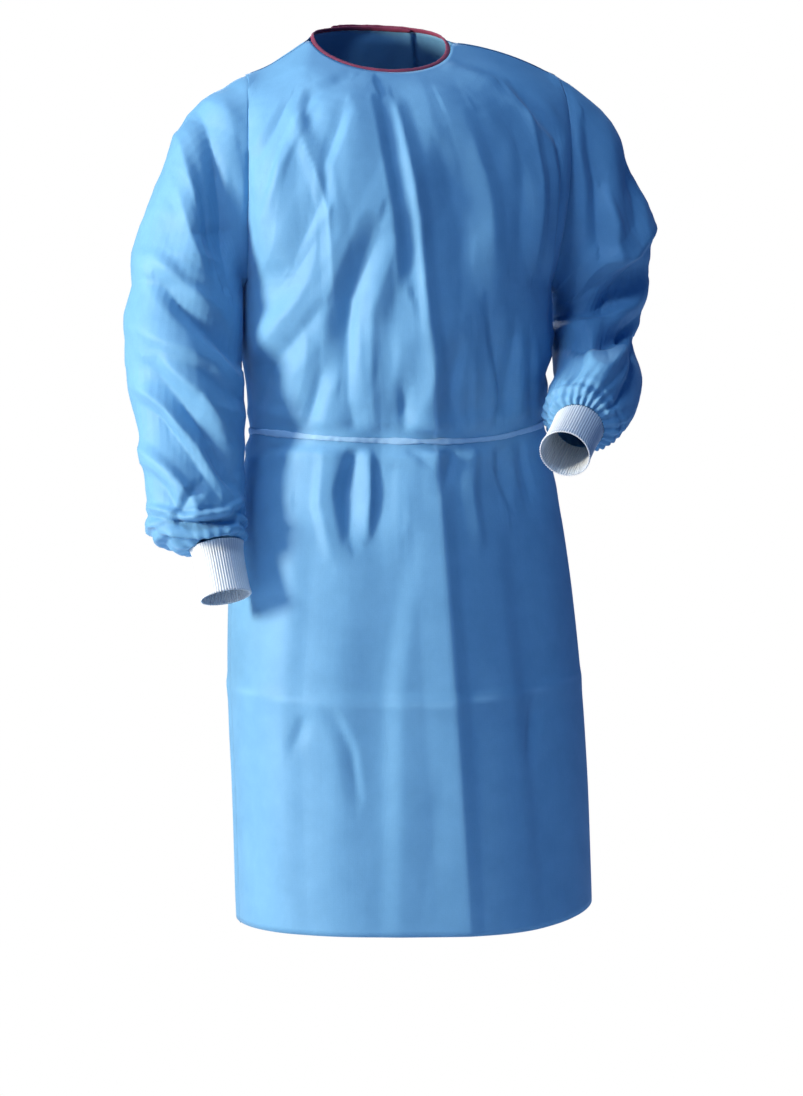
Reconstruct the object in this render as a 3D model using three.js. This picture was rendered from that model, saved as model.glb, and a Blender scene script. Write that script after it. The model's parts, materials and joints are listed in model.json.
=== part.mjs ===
// Surgical gown in pale blue non-woven cloth, in the hollow form and pose that it has when it is worn.
// Millimetres, +Z up. The front faces -Y, and its left side is +X.
// The origin is midway between the shoulders, level with the sides of the neck opening.

import * as THREE from 'three';

// Cloth and seams
const CLOTH = 2;
const SEAM_GAP = 0.3;
const SIDE_SEAM_Y = 8;
// How far the outer back stands off from the inner one, and the share of its width where that ends
const LAP = { standOff: 4.6, ends: 0.56 };

// Neck opening, half an ellipse in front and half behind
const NECK = { middle: -24, half: 93, front: -72, back: 62, sideZ: -4, frontZ: -52, backZ: 16 };

// Shoulder tips, a little lower on its right side, and armholes
const SHOULDER = {
  right: { tip: 199, tipZ: -54, rise: -3 },
  left: { tip: 212, tipZ: -44, rise: 8 },
  tipY: 5,
};
const ARMHOLE = { bottom: 200, bottomZ: -322, spread: 9, front: 66, back: 74 };

// Binding, tie, knot and cuffs
const BINDING = { thick: 3.2, high: 6.5, chamfer: 1 };
const TIE = { thick: 2, lift: 0.35, fromKnot: 0.34 };
const KNOT = { across: 12.5, out: 6.5, high: 9, lift: 0.5 };
const TAIL = { half: 0.14, thick: 2, lift: 0.55, below: 0.35 };
const GATHER = { wave: 1.6, rows: 4 };

// How square the body's sections are: 1 is an ellipse, and less is squarer
const SQUARENESS = 0.86;

// Columns across each half of the front, and how many of them end at the neck
const HALF_COLUMNS = 17;
const NECK_COLUMNS = 10;
const ARMHOLE_ROWS = 11;

// Body sections from the hem up to the armpits: heights at the front, at its right and left and at
// the back, middle and half width, the place of the pressed centre line, the depth in front and behind, and
// the rows of cloth up to the next section
const BODY = [
  { at: 'hem', frontZ: -1143, rightZ: -1142, leftZ: -1116, backZ: -1134,
    middle: 23, half: 231, line: 51, front: -178, back: 200, rows: 4 },
  { at: 'shin', frontZ: -960, rightZ: -960, leftZ: -948, backZ: -958,
    middle: 17, half: 231, line: 40, front: -173, back: 194, rows: 4 },
  { at: 'knee', frontZ: -800, rightZ: -800, leftZ: -792, backZ: -798,
    middle: 8, half: 228, line: 29, front: -165, back: 186, rows: 4 },
  { at: 'hip', frontZ: -665, rightZ: -662, leftZ: -655, backZ: -658,
    middle: 2, half: 217, line: 21, front: -154, back: 174, rows: 3 },
  { at: 'lap', frontZ: -585, rightZ: -575, leftZ: -562, backZ: -568,
    middle: 0, half: 203, line: 18, front: -143, back: 158, rows: 2 },
  { at: 'tie bottom', frontZ: -526.5, rightZ: -513.5, leftZ: -497.5, backZ: -503.5,
    middle: 0, half: 191, line: 17, front: -134, back: 138, rows: 1 },
  { at: 'tie top', frontZ: -515.5, rightZ: -502.5, leftZ: -486.5, backZ: -492.5,
    middle: 0, half: 191, line: 17, front: -134, back: 138, rows: 2 },
  { at: 'waist', frontZ: -456, rightZ: -448, leftZ: -438, backZ: -440,
    middle: 0, half: 198, line: 12, front: -146, back: 148, rows: 2 },
  { at: 'ribs', frontZ: -388, rightZ: -384, leftZ: -380, backZ: -380,
    middle: 0, half: 205, line: 2, front: -152, back: 152, rows: 2 },
  { at: 'armpit', frontZ: -324, rightZ: -322, leftZ: -322, backZ: -320,
    middle: 0, half: 200, line: -5, front: -152, back: 150 },
];

// Sections from the armpits up to the yoke, with the turn round the armhole from its top where they meet it
const CHEST = [
  { at: 'underarm', turn: 135, frontZ: -272, backZ: -264, line: -8, middle: -3, front: -150, back: 146 },
  { at: 'chest', turn: 90, frontZ: -205, backZ: -190, line: -13, middle: -10, front: -145, back: 138 },
];
const YOKE = { turn: 45, centreOut: 12, centreUp: 8, neckOut: 25, neckUp: 20 };

// Sleeve sections from the shoulder to the wrist: centre, half size from the inner to the outer arm and from
// front to back, then the arm's drop below level, its bend forward and its turn to the front, in degrees,
// and the rows of cloth up to the next section
const SLEEVE_RIGHT = [
  { at: 'cap', x: -234, y: 4, z: -210, across: 117, depth: 71, drop: 12, bend: 0, turn: 0, rows: 3 },
  { at: 'upper arm', x: -256, y: 0, z: -245, across: 101, depth: 73, drop: 28, bend: 0, turn: 0, rows: 3 },
  { at: 'biceps', x: -273, y: -6, z: -290, across: 84, depth: 74, drop: 48, bend: 0, turn: 0, rows: 2 },
  { at: 'low arm', x: -282, y: -12, z: -343, across: 77, depth: 75, drop: 70, bend: 0, turn: 0, rows: 2 },
  { at: 'elbow', x: -285, y: -19, z: -409, across: 77, depth: 75, drop: 86, bend: 2, turn: 0, rows: 2 },
  { at: 'crook', x: -282, y: -30, z: -480, across: 74, depth: 73, drop: 91, bend: 10, turn: 0, rows: 3 },
  { at: 'forearm', x: -279, y: -46, z: -545, across: 68, depth: 69, drop: 93, bend: 18, turn: 0, rows: 2 },
  { at: 'wrist', x: -277, y: -60, z: -597, across: 64, depth: 63, drop: 95, bend: 20, turn: 0, rows: 2 },
  { at: 'puff', x: -277, y: -71, z: -632, across: 62, depth: 58, drop: 95, bend: 20, turn: 0, rows: 1 },
  { at: 'gather', x: -264, y: -77, z: -650, across: 49, depth: 48, drop: 97, bend: 20, turn: 0, rows: 1 },
  { at: 'cuff seam', x: -253, y: -79, z: -653, across: 35, depth: 34, drop: 97, bend: 20, turn: 0 },
];
const SLEEVE_LEFT = [
  { at: 'cap', x: 239, y: 8, z: -210, across: 119, depth: 71, drop: 14, bend: 0, turn: 0, rows: 3 },
  { at: 'upper arm', x: 262, y: 12, z: -246, across: 100, depth: 73, drop: 30, bend: 0, turn: 0, rows: 3 },
  { at: 'biceps', x: 280, y: 18, z: -290, across: 88, depth: 74, drop: 50, bend: 4, turn: 2, rows: 2 },
  { at: 'low arm', x: 280, y: 20, z: -338, across: 69, depth: 74, drop: 70, bend: 14, turn: 6, rows: 2 },
  { at: 'elbow', x: 268, y: 6, z: -384, across: 57, depth: 72, drop: 80, bend: 32, turn: 12, rows: 2 },
  { at: 'crook', x: 262, y: -26, z: -418, across: 56, depth: 68, drop: 84, bend: 47, turn: 18, rows: 3 },
  { at: 'forearm', x: 243, y: -86, z: -448, across: 53, depth: 61, drop: 88, bend: 57, turn: 26, rows: 2 },
  { at: 'wrist', x: 221, y: -124, z: -472, across: 54, depth: 54, drop: 90, bend: 60, turn: 30, rows: 2 },
  { at: 'puff', x: 206, y: -148, z: -489, across: 54, depth: 49, drop: 90, bend: 60, turn: 32, rows: 1 },
  { at: 'gather', x: 199, y: -160, z: -499, across: 45, depth: 42, drop: 90, bend: 60, turn: 33, rows: 1 },
  { at: 'cuff seam', x: 197, y: -163, z: -502, across: 33, depth: 32, drop: 90, bend: 60, turn: 33 },
];
const ARMHOLE_TO_CAP_ROWS = 2;

// Sections of a knitted cuff past the sleeve's last one: distance from the seam and half width
const CUFF = [
  { along: 8, half: 32 },
  { along: 38, half: 31 },
  { along: 68, half: 32 },
];

// Large folds seen from the front: the pieces, the line's ends, its half width and how far it stands out
const FOLDS = [
  { on: 'front', x0: -10, z0: -250, x1: -60, z1: -400, width: 44, height: -9 },
  { on: 'front', x0: -60, z0: -400, x1: -48, z1: -520, width: 40, height: -9 },
  { on: 'front', x0: -100, z0: -360, x1: -160, z1: -500, width: 40, height: -8 },
  { on: 'front', x0: 80, z0: -380, x1: 72, z1: -515, width: 34, height: -6 },
  { on: 'front', x0: 120, z0: -340, x1: 136, z1: -505, width: 34, height: -7 },
  { on: 'front', x0: -48, z0: -530, x1: -66, z1: -650, width: 36, height: -9 },
  { on: 'front', x0: -28, z0: -530, x1: -32, z1: -655, width: 30, height: 5 },
  { on: 'front', x0: 134, z0: -515, x1: 140, z1: -600, width: 36, height: -6 },
  { on: 'front', x0: -165, z0: -520, x1: -188, z1: -560, width: 36, height: -6 },
  { on: 'front', x0: -130, z0: -105, x1: -180, z1: -250, width: 40, height: -8 },
  { on: 'front', x0: 150, z0: -90, x1: 185, z1: -230, width: 40, height: -8 },
  { on: 'back', x0: -120, z0: -100, x1: -150, z1: -270, width: 42, height: -7 },
  { on: 'back', x0: 128, z0: -90, x1: 160, z1: -250, width: 42, height: -7 },
  { on: 'back', x0: -70, z0: -300, x1: -120, z1: -470, width: 44, height: -7 },
  { on: 'back', x0: 84, z0: -330, x1: 112, z1: -460, width: 42, height: -6 },
  { on: 'back', x0: -110, z0: -540, x1: -128, z1: -700, width: 44, height: -8 },
  { on: 'back', x0: 96, z0: -545, x1: 126, z1: -760, width: 44, height: -8 },
  { on: 'sleeve_right', x0: -250, z0: -205, x1: -244, z1: -304, width: 36, height: -6 },
  { on: 'sleeve_right', x0: -312, z0: -356, x1: -250, z1: -405, width: 34, height: -6 },
  { on: 'sleeve_right', x0: -324, z0: -442, x1: -256, z1: -523, width: 36, height: -8 },
  { on: 'sleeve_right', x0: -345, z0: -511, x1: -264, z1: -577, width: 34, height: -7 },
  { on: 'sleeve_left', x0: 325, z0: -285, x1: 262, z1: -336, width: 36, height: -7 },
  { on: 'sleeve_left', x0: 300, z0: -372, x1: 236, z1: -402, width: 32, height: -6 },
  { on: 'sleeve_left', x0: 262, z0: -413, x1: 190, z1: -465, width: 30, height: 4 },
];
const FOLD_TAPER = { start: 0.08, end: 0.92 };
const FADE_STEPS = 2;

// The pressed centre line of the front stands out as a low ridge
const CENTRE_RIDGE = { height: 5, width: 95 };

const CLOTH_BLUE = 0x6aa5dc;
const KNIT_WHITE = 0xf0f2f2;
const TAPE_RED = 0x8c2350;
const TIE_BLUE = 0x9cc8ea;

const RIGHT = -1;
const LEFT = 1;
const FRONT = -1;
const BACK = 1;
const ARMPIT_LEVEL = BODY.length - 1;
const TOP_LEVEL = ARMPIT_LEVEL + CHEST.length + 2;
const NECK_SHARE = NECK_COLUMNS / HALF_COLUMNS;

const radians = THREE.MathUtils.degToRad;
const mix = THREE.MathUtils.lerp;

function shoulderTip(side) {
  return side === RIGHT ? SHOULDER.right : SHOULDER.left;
}

// A point on the edge of an armhole, by the turn from its top
function armholePoint(side, face, turn) {
  const { tip, tipZ } = shoulderTip(side);
  const down = (1 - Math.cos(radians(turn))) / 2;
  const bulge = Math.sin(radians(turn));
  const reach = face === FRONT ? ARMHOLE.front : ARMHOLE.back;
  return new THREE.Vector3(
    side * (mix(tip, ARMHOLE.bottom, down) + ARMHOLE.spread * bulge ** 2),
    mix(SHOULDER.tipY, SIDE_SEAM_Y, down) + face * reach * bulge,
    mix(tipZ, ARMHOLE.bottomZ, down),
  );
}

// The neck edge from its centre to its side, then the shoulder seam out to the tip
function topPoint(face, side, share) {
  if (share <= NECK_SHARE) {
    const turn = (share / NECK_SHARE) * (Math.PI / 2);
    const depth = face === FRONT ? NECK.front : NECK.back;
    const centreZ = face === FRONT ? NECK.frontZ : NECK.backZ;
    return new THREE.Vector3(
      NECK.middle + side * NECK.half * Math.sin(turn),
      depth * Math.cos(turn),
      mix(NECK.sideZ, centreZ, Math.cos(turn)),
    );
  }
  const { tip, tipZ, rise } = shoulderTip(side);
  const out = (share - NECK_SHARE) / (1 - NECK_SHARE);
  return new THREE.Vector3(
    mix(NECK.middle + side * NECK.half, side * tip, out),
    mix(0, SHOULDER.tipY, out),
    mix(NECK.sideZ, tipZ, out) + rise * 4 * out * (1 - out),
  );
}

// A quarter of a section, from its centre point round to its side point
function quarterPoint(centre, edge, share) {
  const turn = share * (Math.PI / 2);
  const across = Math.sin(turn) ** SQUARENESS;
  const forward = Math.max(Math.cos(turn), 0) ** SQUARENESS;
  return new THREE.Vector3(
    mix(centre.x, edge.x, across),
    mix(edge.y, centre.y, forward),
    mix(edge.z, centre.z, forward ** 2),
  );
}

function centrePoint(face, section) {
  return new THREE.Vector3(
    face === FRONT ? section.line : section.middle,
    face === FRONT ? section.front : section.back,
    face === FRONT ? section.frontZ : section.backZ,
  );
}

function sideSeamPoint(side, section) {
  const z = side === RIGHT ? section.rightZ : section.leftZ;
  return new THREE.Vector3(section.middle + side * section.half, SIDE_SEAM_Y, z);
}

// The yoke lies midway between chest and shoulder, rounded outwards
function yokePoint(face, side, share) {
  const chest = CHEST[CHEST.length - 1];
  const below = quarterPoint(centrePoint(face, chest), armholePoint(side, face, chest.turn), share);
  const edge = armholePoint(side, face, YOKE.turn);
  edge.sub(armholePoint(side, face, chest.turn).lerp(topPoint(face, side, 1), 0.5));
  const centre = new THREE.Vector3(0, face * YOKE.centreOut, YOKE.centreUp);
  const neck = new THREE.Vector3(0, face * YOKE.neckOut, YOKE.neckUp);
  return below.lerp(topPoint(face, side, share), 0.5)
    .addScaledVector(centre, (1 - share) * (1 - 2 * share))
    .addScaledVector(neck, 4 * share * (1 - share))
    .addScaledVector(edge, share * (2 * share - 1));
}

// One point on each level of the body, at a share of the way from the centre to the side
function levelPoints(face, side, share) {
  const body = BODY.map((section) =>
    quarterPoint(centrePoint(face, section), sideSeamPoint(side, section), share));
  const chest = CHEST.map((section) =>
    quarterPoint(centrePoint(face, section), armholePoint(side, face, section.turn), share));
  return [...body, ...chest, yokePoint(face, side, share), topPoint(face, side, share)];
}

// The levels that the rows of cloth lie on, as whole numbers and fractions of a level
const ROW_LEVELS = [];
BODY.slice(0, -1).forEach((section, level) => {
  for (let row = 0; row < section.rows; row += 1) ROW_LEVELS.push(level + row / section.rows);
});
const ARMPIT_ROW = ROW_LEVELS.length;
for (let row = 0; row <= ARMHOLE_ROWS; row += 1) {
  ROW_LEVELS.push(ARMPIT_LEVEL + (row / ARMHOLE_ROWS) * (TOP_LEVEL - ARMPIT_LEVEL));
}
const TIE_ROW = ROW_LEVELS.indexOf(BODY.findIndex((section) => section.at === 'tie bottom'));

function smoothCurve(points) {
  return new THREE.CatmullRomCurve3(points, false, 'centripetal');
}

// A column of cloth from the hem to the neck or shoulder; at the side it follows the seam and the armhole
function bodyColumn(face, side, share) {
  const whole = smoothCurve(levelPoints(face, side, share));
  if (share < 1) return ROW_LEVELS.map((level) => whole.getPoint(level / TOP_LEVEL));
  const seam = smoothCurve(BODY.map((section) => sideSeamPoint(side, section)));
  return ROW_LEVELS.map((level, row) => {
    if (row < ARMPIT_ROW) return seam.getPoint(level / ARMPIT_LEVEL);
    return armholePoint(side, face, 180 * (1 - (row - ARMPIT_ROW) / ARMHOLE_ROWS));
  });
}

// A panel of cloth: rows of points of its outer face, and which of its edges are sewn
function panel(name, columns, sewn) {
  const rows = columns[0].map((_, row) => columns.map((column) => column[row].clone()));
  return { name, rows, sewn, closed: false };
}

const across = (shares, face) =>
  shares.map((share) => bodyColumn(face, share < 0 ? RIGHT : LEFT, Math.abs(share)));

function frontShares() {
  const shares = [];
  for (let i = -HALF_COLUMNS; i <= HALF_COLUMNS; i += 1) shares.push(i / HALF_COLUMNS);
  return shares;
}

// The back has every column of the shoulder and every second one of the neck, and runs on past the centre
const LAP_COLUMNS = 4;
function backShares() {
  const shares = [];
  for (let i = HALF_COLUMNS; i > NECK_COLUMNS; i -= 1) shares.push(i / HALF_COLUMNS);
  for (let i = NECK_COLUMNS; i >= -LAP_COLUMNS; i -= 2) shares.push(i / HALF_COLUMNS);
  return shares;
}

const front = panel('front', across(frontShares(), FRONT), { start: true, end: true, top: true });
const backLeft = panel('back_left', across(backShares(), BACK), { start: true, top: true });
const backRight = panel(
  'back_right', across(backShares().map((share) => -share).reverse(), BACK), { end: true, top: true });

// The frame of a sleeve section: along the arm, towards its outer side and towards its front
function armFrame(side, section) {
  const [drop, bend, turn] = [section.drop, section.bend, section.turn].map(radians);
  const outward = new THREE.Vector3(side * Math.cos(turn), -Math.sin(turn), 0);
  const forward = new THREE.Vector3(-side * Math.sin(turn), -Math.cos(turn), 0);
  const up = new THREE.Vector3(0, 0, 1);
  const along = outward.clone().multiplyScalar(Math.cos(drop)).addScaledVector(up, -Math.sin(drop));
  const outer = outward.clone().multiplyScalar(Math.sin(drop)).addScaledVector(up, Math.cos(drop));
  const bent = along.clone().multiplyScalar(Math.cos(bend)).addScaledVector(forward, Math.sin(bend));
  forward.multiplyScalar(Math.cos(bend)).addScaledVector(along, -Math.sin(bend));
  return { along: bent, outer, forward };
}

// The ring of points round a sleeve section, from its outer point by way of the front on the left arm,
// and by way of the back on the right one, so that both face out
function armRing(side, section, count) {
  const { outer, forward } = armFrame(side, section);
  return Array.from({ length: count }, (_, i) => {
    const turn = (i / count) * 2 * Math.PI;
    return new THREE.Vector3(section.x, section.y, section.z)
      .addScaledVector(outer, section.across * Math.cos(turn))
      .addScaledVector(forward, side * section.depth * Math.sin(turn));
  });
}

// The armhole's own points, taken from the panels that it is cut in
function armholeRing(side) {
  const frontEdge = front.rows.map((row) => (side === RIGHT ? row[0] : row[row.length - 1]));
  const backPanel = side === RIGHT ? backRight : backLeft;
  const backEdge = backPanel.rows.map((row) => (side === RIGHT ? row[row.length - 1] : row[0]));
  const downFront = frontEdge.slice(ARMPIT_ROW).reverse();
  const downBack = backEdge.slice(ARMPIT_ROW).reverse();
  const [down, up] = side === LEFT ? [downFront, downBack] : [downBack, downFront];
  return [...down, ...up.slice(1, -1).reverse()].map((point) => point.clone());
}

function sleeve(name, side, sections) {
  const edge = armholeRing(side);
  const rings = [edge, ...sections.map((section) => armRing(side, section, edge.length))];
  const levels = [];
  for (let row = 0; row < ARMHOLE_TO_CAP_ROWS; row += 1) levels.push(row / ARMHOLE_TO_CAP_ROWS);
  sections.slice(0, -1).forEach((section, i) => {
    for (let row = 0; row < section.rows; row += 1) levels.push(i + 1 + row / section.rows);
  });
  levels.push(sections.length);
  const columns = edge.map((_, i) => {
    const curve = smoothCurve(rings.map((ring) => ring[i]));
    return levels.map((level) => curve.getPoint(level / sections.length));
  });
  return { ...panel(name, columns, { bottom: true, top: true }), closed: true };
}

// A cuff starts on the sleeve's last ring and follows the arm
function cuff(name, side, sewnTo, seam) {
  const { along } = armFrame(side, seam);
  const start = sewnTo.rows[sewnTo.rows.length - 1];
  const rings = CUFF.map((ring) => {
    const moved = new THREE.Vector3(seam.x, seam.y, seam.z).addScaledVector(along, ring.along);
    const section = { ...seam, x: moved.x, y: moved.y, z: moved.z, across: ring.half, depth: ring.half };
    return armRing(side, section, start.length);
  });
  const columns = start.map((point, i) => [point, ...rings.map((ring) => ring[i])]);
  return { ...panel(name, columns, { bottom: true }), closed: true };
}

const sleeveRight = sleeve('sleeve_right', RIGHT, SLEEVE_RIGHT);
const sleeveLeft = sleeve('sleeve_left', LEFT, SLEEVE_LEFT);
const cuffRight = cuff('cuff_right', RIGHT, sleeveRight, SLEEVE_RIGHT[SLEEVE_RIGHT.length - 1]);
const cuffLeft = cuff('cuff_left', LEFT, sleeveLeft, SLEEVE_LEFT[SLEEVE_LEFT.length - 1]);

// Normals of the outer faces, shared where two panels meet
const SAME_POINT = 0.001;
const keyOf = (point) => point.toArray().map((value) => Math.round(value / SAME_POINT)).join(' ');

function eachQuad(piece, visit) {
  const { rows, closed } = piece;
  const count = rows[0].length;
  for (let j = 0; j < rows.length - 1; j += 1) {
    for (let i = 0; i < (closed ? count : count - 1); i += 1) visit(j, i, (i + 1) % count);
  }
}

function ownNormals(piece) {
  const normals = piece.rows.map((row) => row.map(() => new THREE.Vector3()));
  const corners = (grid, j, i, next) => [grid[j][i], grid[j][next], grid[j + 1][next], grid[j + 1][i]];
  eachQuad(piece, (j, i, next) => {
    const [a, b, c, d] = corners(piece.rows, j, i, next);
    const normal = c.clone().sub(a).cross(d.clone().sub(b)).normalize();
    corners(normals, j, i, next).forEach((sum) => sum.add(normal));
  });
  return normals.map((row) => row.map((normal) => normal.normalize()));
}

function shareNormals(pieces) {
  const sums = new Map();
  const own = pieces.map(ownNormals);
  pieces.forEach((piece, k) => piece.rows.forEach((row, j) => row.forEach((point, i) => {
    const key = keyOf(point);
    if (!sums.has(key)) sums.set(key, new THREE.Vector3());
    sums.get(key).add(own[k][j][i]);
  })));
  pieces.forEach((piece) => {
    const shared = (point) => sums.get(keyOf(point)).clone().normalize();
    piece.normals = piece.rows.map((row) => row.map(shared));
  });
}

// A fold's height at a point of a piece seen from the front, tapered to nothing at the line's ends
function foldHeight(fold, point) {
  const start = new THREE.Vector2(fold.x0, fold.z0);
  const line = new THREE.Vector2(fold.x1, fold.z1).sub(start);
  const from = new THREE.Vector2(point.x, point.z).sub(start);
  const along = THREE.MathUtils.clamp(from.dot(line) / line.lengthSq(), 0, 1);
  const distance = from.sub(line.clone().multiplyScalar(along)).length() / fold.width;
  if (distance >= 1) return 0;
  const taper = Math.sqrt(Math.sin(Math.PI * mix(FOLD_TAPER.start, FOLD_TAPER.end, along)));
  return fold.height * taper * Math.cos((distance * Math.PI) / 2) ** 2;
}

// Folds fade out over the columns and rows beside a sewn edge
function seamFade({ rows, sewn }, j, i) {
  const steps = [FADE_STEPS];
  if (sewn.start) steps.push(i);
  if (sewn.end) steps.push(rows[0].length - 1 - i);
  if (sewn.bottom) steps.push(j);
  if (sewn.top) steps.push(rows.length - 1 - j);
  return Math.min(...steps) / FADE_STEPS;
}

function pressFolds(piece, extraHeight) {
  const folds = FOLDS.filter((fold) => piece.name.startsWith(fold.on));
  piece.rows = piece.rows.map((row, j) => row.map((point, i) => {
    const pressed = folds.reduce((sum, fold) => sum + foldHeight(fold, point), 0);
    const height = pressed + extraHeight(point, j, i);
    return point.clone().addScaledVector(piece.normals[j][i], height * seamFade(piece, j, i));
  }));
}

const panels = [front, backLeft, backRight, sleeveRight, sleeveLeft, cuffRight, cuffLeft];
shareNormals(panels);

pressFolds(front, (point, j) => {
  const distance = Math.abs(point.x - front.rows[j][HALF_COLUMNS].x);
  return CENTRE_RIDGE.height * Math.max(0, 1 - distance / CENTRE_RIDGE.width);
});
[backLeft, backRight].forEach((piece) => pressFolds(piece, () => 0));
[sleeveRight, sleeveLeft].forEach((piece) => pressFolds(piece, (point, j, i) => {
  const fromEnd = piece.rows.length - 1 - j;
  const wave = i % 2 ? GATHER.wave : -GATHER.wave;
  return fromEnd < GATHER.rows ? wave : 0;
}));

// The left back lies over the right one, so it stands off from it towards its free edge
backLeft.rows.forEach((row, j) => row.forEach((point, i) => {
  const share = backShares()[i];
  const off = 1 - THREE.MathUtils.smoothstep(share, (LAP_COLUMNS + 1) / HALF_COLUMNS, LAP.ends);
  point.addScaledVector(backLeft.normals[j][i], LAP.standOff * off);
}));

shareNormals(panels);

// Square to an edge and along the cloth, towards an inner point
function inwardFrom(edge, normal, before, after, inner) {
  const direction = after.clone().sub(before).cross(normal).normalize();
  return inner.clone().sub(edge).dot(direction) < 0 ? direction.negate() : direction;
}

// Each sewn edge draws back by half the seam's gap
function openSeams(piece) {
  const { rows, normals, closed, sewn } = piece;
  const [last, count] = [rows.length - 1, rows[0].length];
  const moved = rows.map((row) => row.map((point) => point.clone()));
  const draw = (j, i, before, after, inner) => {
    const inward = inwardFrom(rows[j][i], normals[j][i], before, after, inner);
    moved[j][i].addScaledVector(inward, SEAM_GAP / 2);
  };
  const drawColumn = (i, inner) => rows.forEach((row, j) => {
    const [below, above] = [Math.max(j - 1, 0), Math.min(j + 1, last)];
    draw(j, i, rows[below][i], rows[above][i], rows[below][inner]);
  });
  const drawRow = (j, inner) => rows[j].forEach((_, i) => {
    const before = closed ? (i + count - 1) % count : Math.max(i - 1, 0);
    const after = closed ? (i + 1) % count : Math.min(i + 1, count - 1);
    draw(j, i, rows[j][before], rows[j][after], rows[inner][i]);
  });
  if (sewn.start) drawColumn(0, 1);
  if (sewn.end) drawColumn(count - 1, count - 2);
  if (sewn.bottom) drawRow(0, 1);
  if (sewn.top) drawRow(last, last - 1);
  piece.rows = moved;
}
panels.forEach(openSeams);

// A closed solid from rows of points and the corners of its faces
function solid(rows, faces) {
  const positions = rows.flat().flatMap((point) => point.toArray());
  const geometry = new THREE.BufferGeometry();
  geometry.setAttribute('position', new THREE.Float32BufferAttribute(positions, 3));
  geometry.setIndex(faces);
  geometry.computeVertexNormals();
  return geometry;
}

// The wall of a panel: its outer face, the same moved in by the cloth's thickness, and its edges
function wallGeometry(piece) {
  const { rows, normals, closed } = piece;
  const count = rows[0].length;
  const inner = rows.map((row, j) => row.map((point, i) =>
    point.clone().addScaledVector(normals[j][i], -CLOTH)));
  const faces = [];
  const out = (j, i) => j * count + i;
  const inside = (j, i) => (rows.length + j) * count + i;
  const quad = (a, b, c, d) => faces.push(a, b, c, a, c, d);
  eachQuad(piece, (j, i, next) => {
    quad(out(j, i), out(j, next), out(j + 1, next), out(j + 1, i));
    quad(inside(j, i), inside(j + 1, i), inside(j + 1, next), inside(j, next));
  });
  // An edge's quads are split from the lower outer corner, so that sewn edges are split alike
  const edgeQuad = ([j, i], [j2, i2]) => {
    const corners = [out(j, i), out(j2, i2), inside(j2, i2), inside(j, i)];
    if (rows[j][i].z > rows[j2][i2].z) corners.push(corners.shift());
    quad(...corners);
  };
  const last = rows.length - 1;
  for (let i = 0; i < (closed ? count : count - 1); i += 1) {
    const next = (i + 1) % count;
    edgeQuad([0, next], [0, i]);
    edgeQuad([last, i], [last, next]);
  }
  for (let j = 0; j < last && !closed; j += 1) {
    edgeQuad([j, 0], [j + 1, 0]);
    edgeQuad([j + 1, count - 1], [j, count - 1]);
  }
  return solid([...rows, ...inner], faces);
}

// A bar through rings of corners, closed by a fan at each end
function barGeometry(rings) {
  const corners = rings[0].length;
  const faces = [];
  for (let j = 0; j < rings.length - 1; j += 1) {
    for (let i = 0; i < corners; i += 1) {
      const next = (i + 1) % corners;
      const [a, b] = [j * corners + i, j * corners + next];
      const rising = rings[j][i].z < rings[j + 1][i].z;
      if (rising) faces.push(b, a, a + corners, b, a + corners, b + corners);
      else faces.push(a, b + corners, b, a, a + corners, b + corners);
    }
  }
  const lastRing = (rings.length - 1) * corners;
  for (let i = 1; i < corners - 1; i += 1) {
    faces.push(0, i, i + 1);
    faces.push(lastRing, lastRing + i + 1, lastRing + i);
  }
  return solid(rings, faces);
}

// The binding runs on the neck edge from the right back's free edge round to the left back's
function bindingRings() {
  const edgeOf = (piece) => {
    const last = piece.rows.length - 1;
    return piece.rows[last].map((point, i) => (
      { point, normal: piece.normals[last][i], inner: piece.rows[last - 1][i] }));
  };
  const backNeck = (NECK_COLUMNS + LAP_COLUMNS) / 2;
  const shoulderColumns = HALF_COLUMNS - NECK_COLUMNS;
  const path = [
    ...edgeOf(backRight).slice(0, backNeck),
    ...edgeOf(front).slice(shoulderColumns, shoulderColumns + 2 * NECK_COLUMNS + 1),
    ...edgeOf(backLeft).slice(shoulderColumns + 1, shoulderColumns + 1 + backNeck),
  ];
  const [thick, high, chamfer] = [BINDING.thick / 2, BINDING.high / 2, BINDING.chamfer];
  const section = [
    [-thick, -high], [thick, -high], [thick, high - chamfer],
    [thick - chamfer, high], [chamfer - thick, high], [-thick, high - chamfer],
  ];
  return path.map(({ point, normal, inner }, i) => {
    const before = path[Math.max(i - 1, 0)].point;
    const after = path[Math.min(i + 1, path.length - 1)].point;
    const up = inwardFrom(point, normal, before, after, inner).negate();
    const centre = point.clone().addScaledVector(normal, -CLOTH / 2).addScaledVector(up, SEAM_GAP + high);
    return section.map(([out, rise]) =>
      centre.clone().addScaledVector(normal, out).addScaledVector(up, rise));
  });
}

// A point and normal on a panel, between its columns and rows
function onPanel(piece, i, j) {
  const i0 = Math.min(Math.floor(i), piece.rows[0].length - 2);
  const j0 = Math.min(Math.floor(j), piece.rows.length - 2);
  const blend = (grid) => {
    const low = grid[j0][i0].clone().lerp(grid[j0][i0 + 1], i - i0);
    const high = grid[j0 + 1][i0].clone().lerp(grid[j0 + 1][i0 + 1], i - i0);
    return low.lerp(high, j - j0);
  };
  return { point: blend(piece.rows), normal: blend(piece.normals).normalize() };
}

// A flat tape's four corners over a panel, between two places on it
function tapeCorners(low, high, lift, thick) {
  const moved = ({ point, normal }, by) => point.clone().addScaledVector(normal, by);
  return [moved(low, lift), moved(high, lift), moved(high, lift + thick), moved(low, lift + thick)];
}

const BACK_CENTRE = backShares().indexOf(0);

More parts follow.
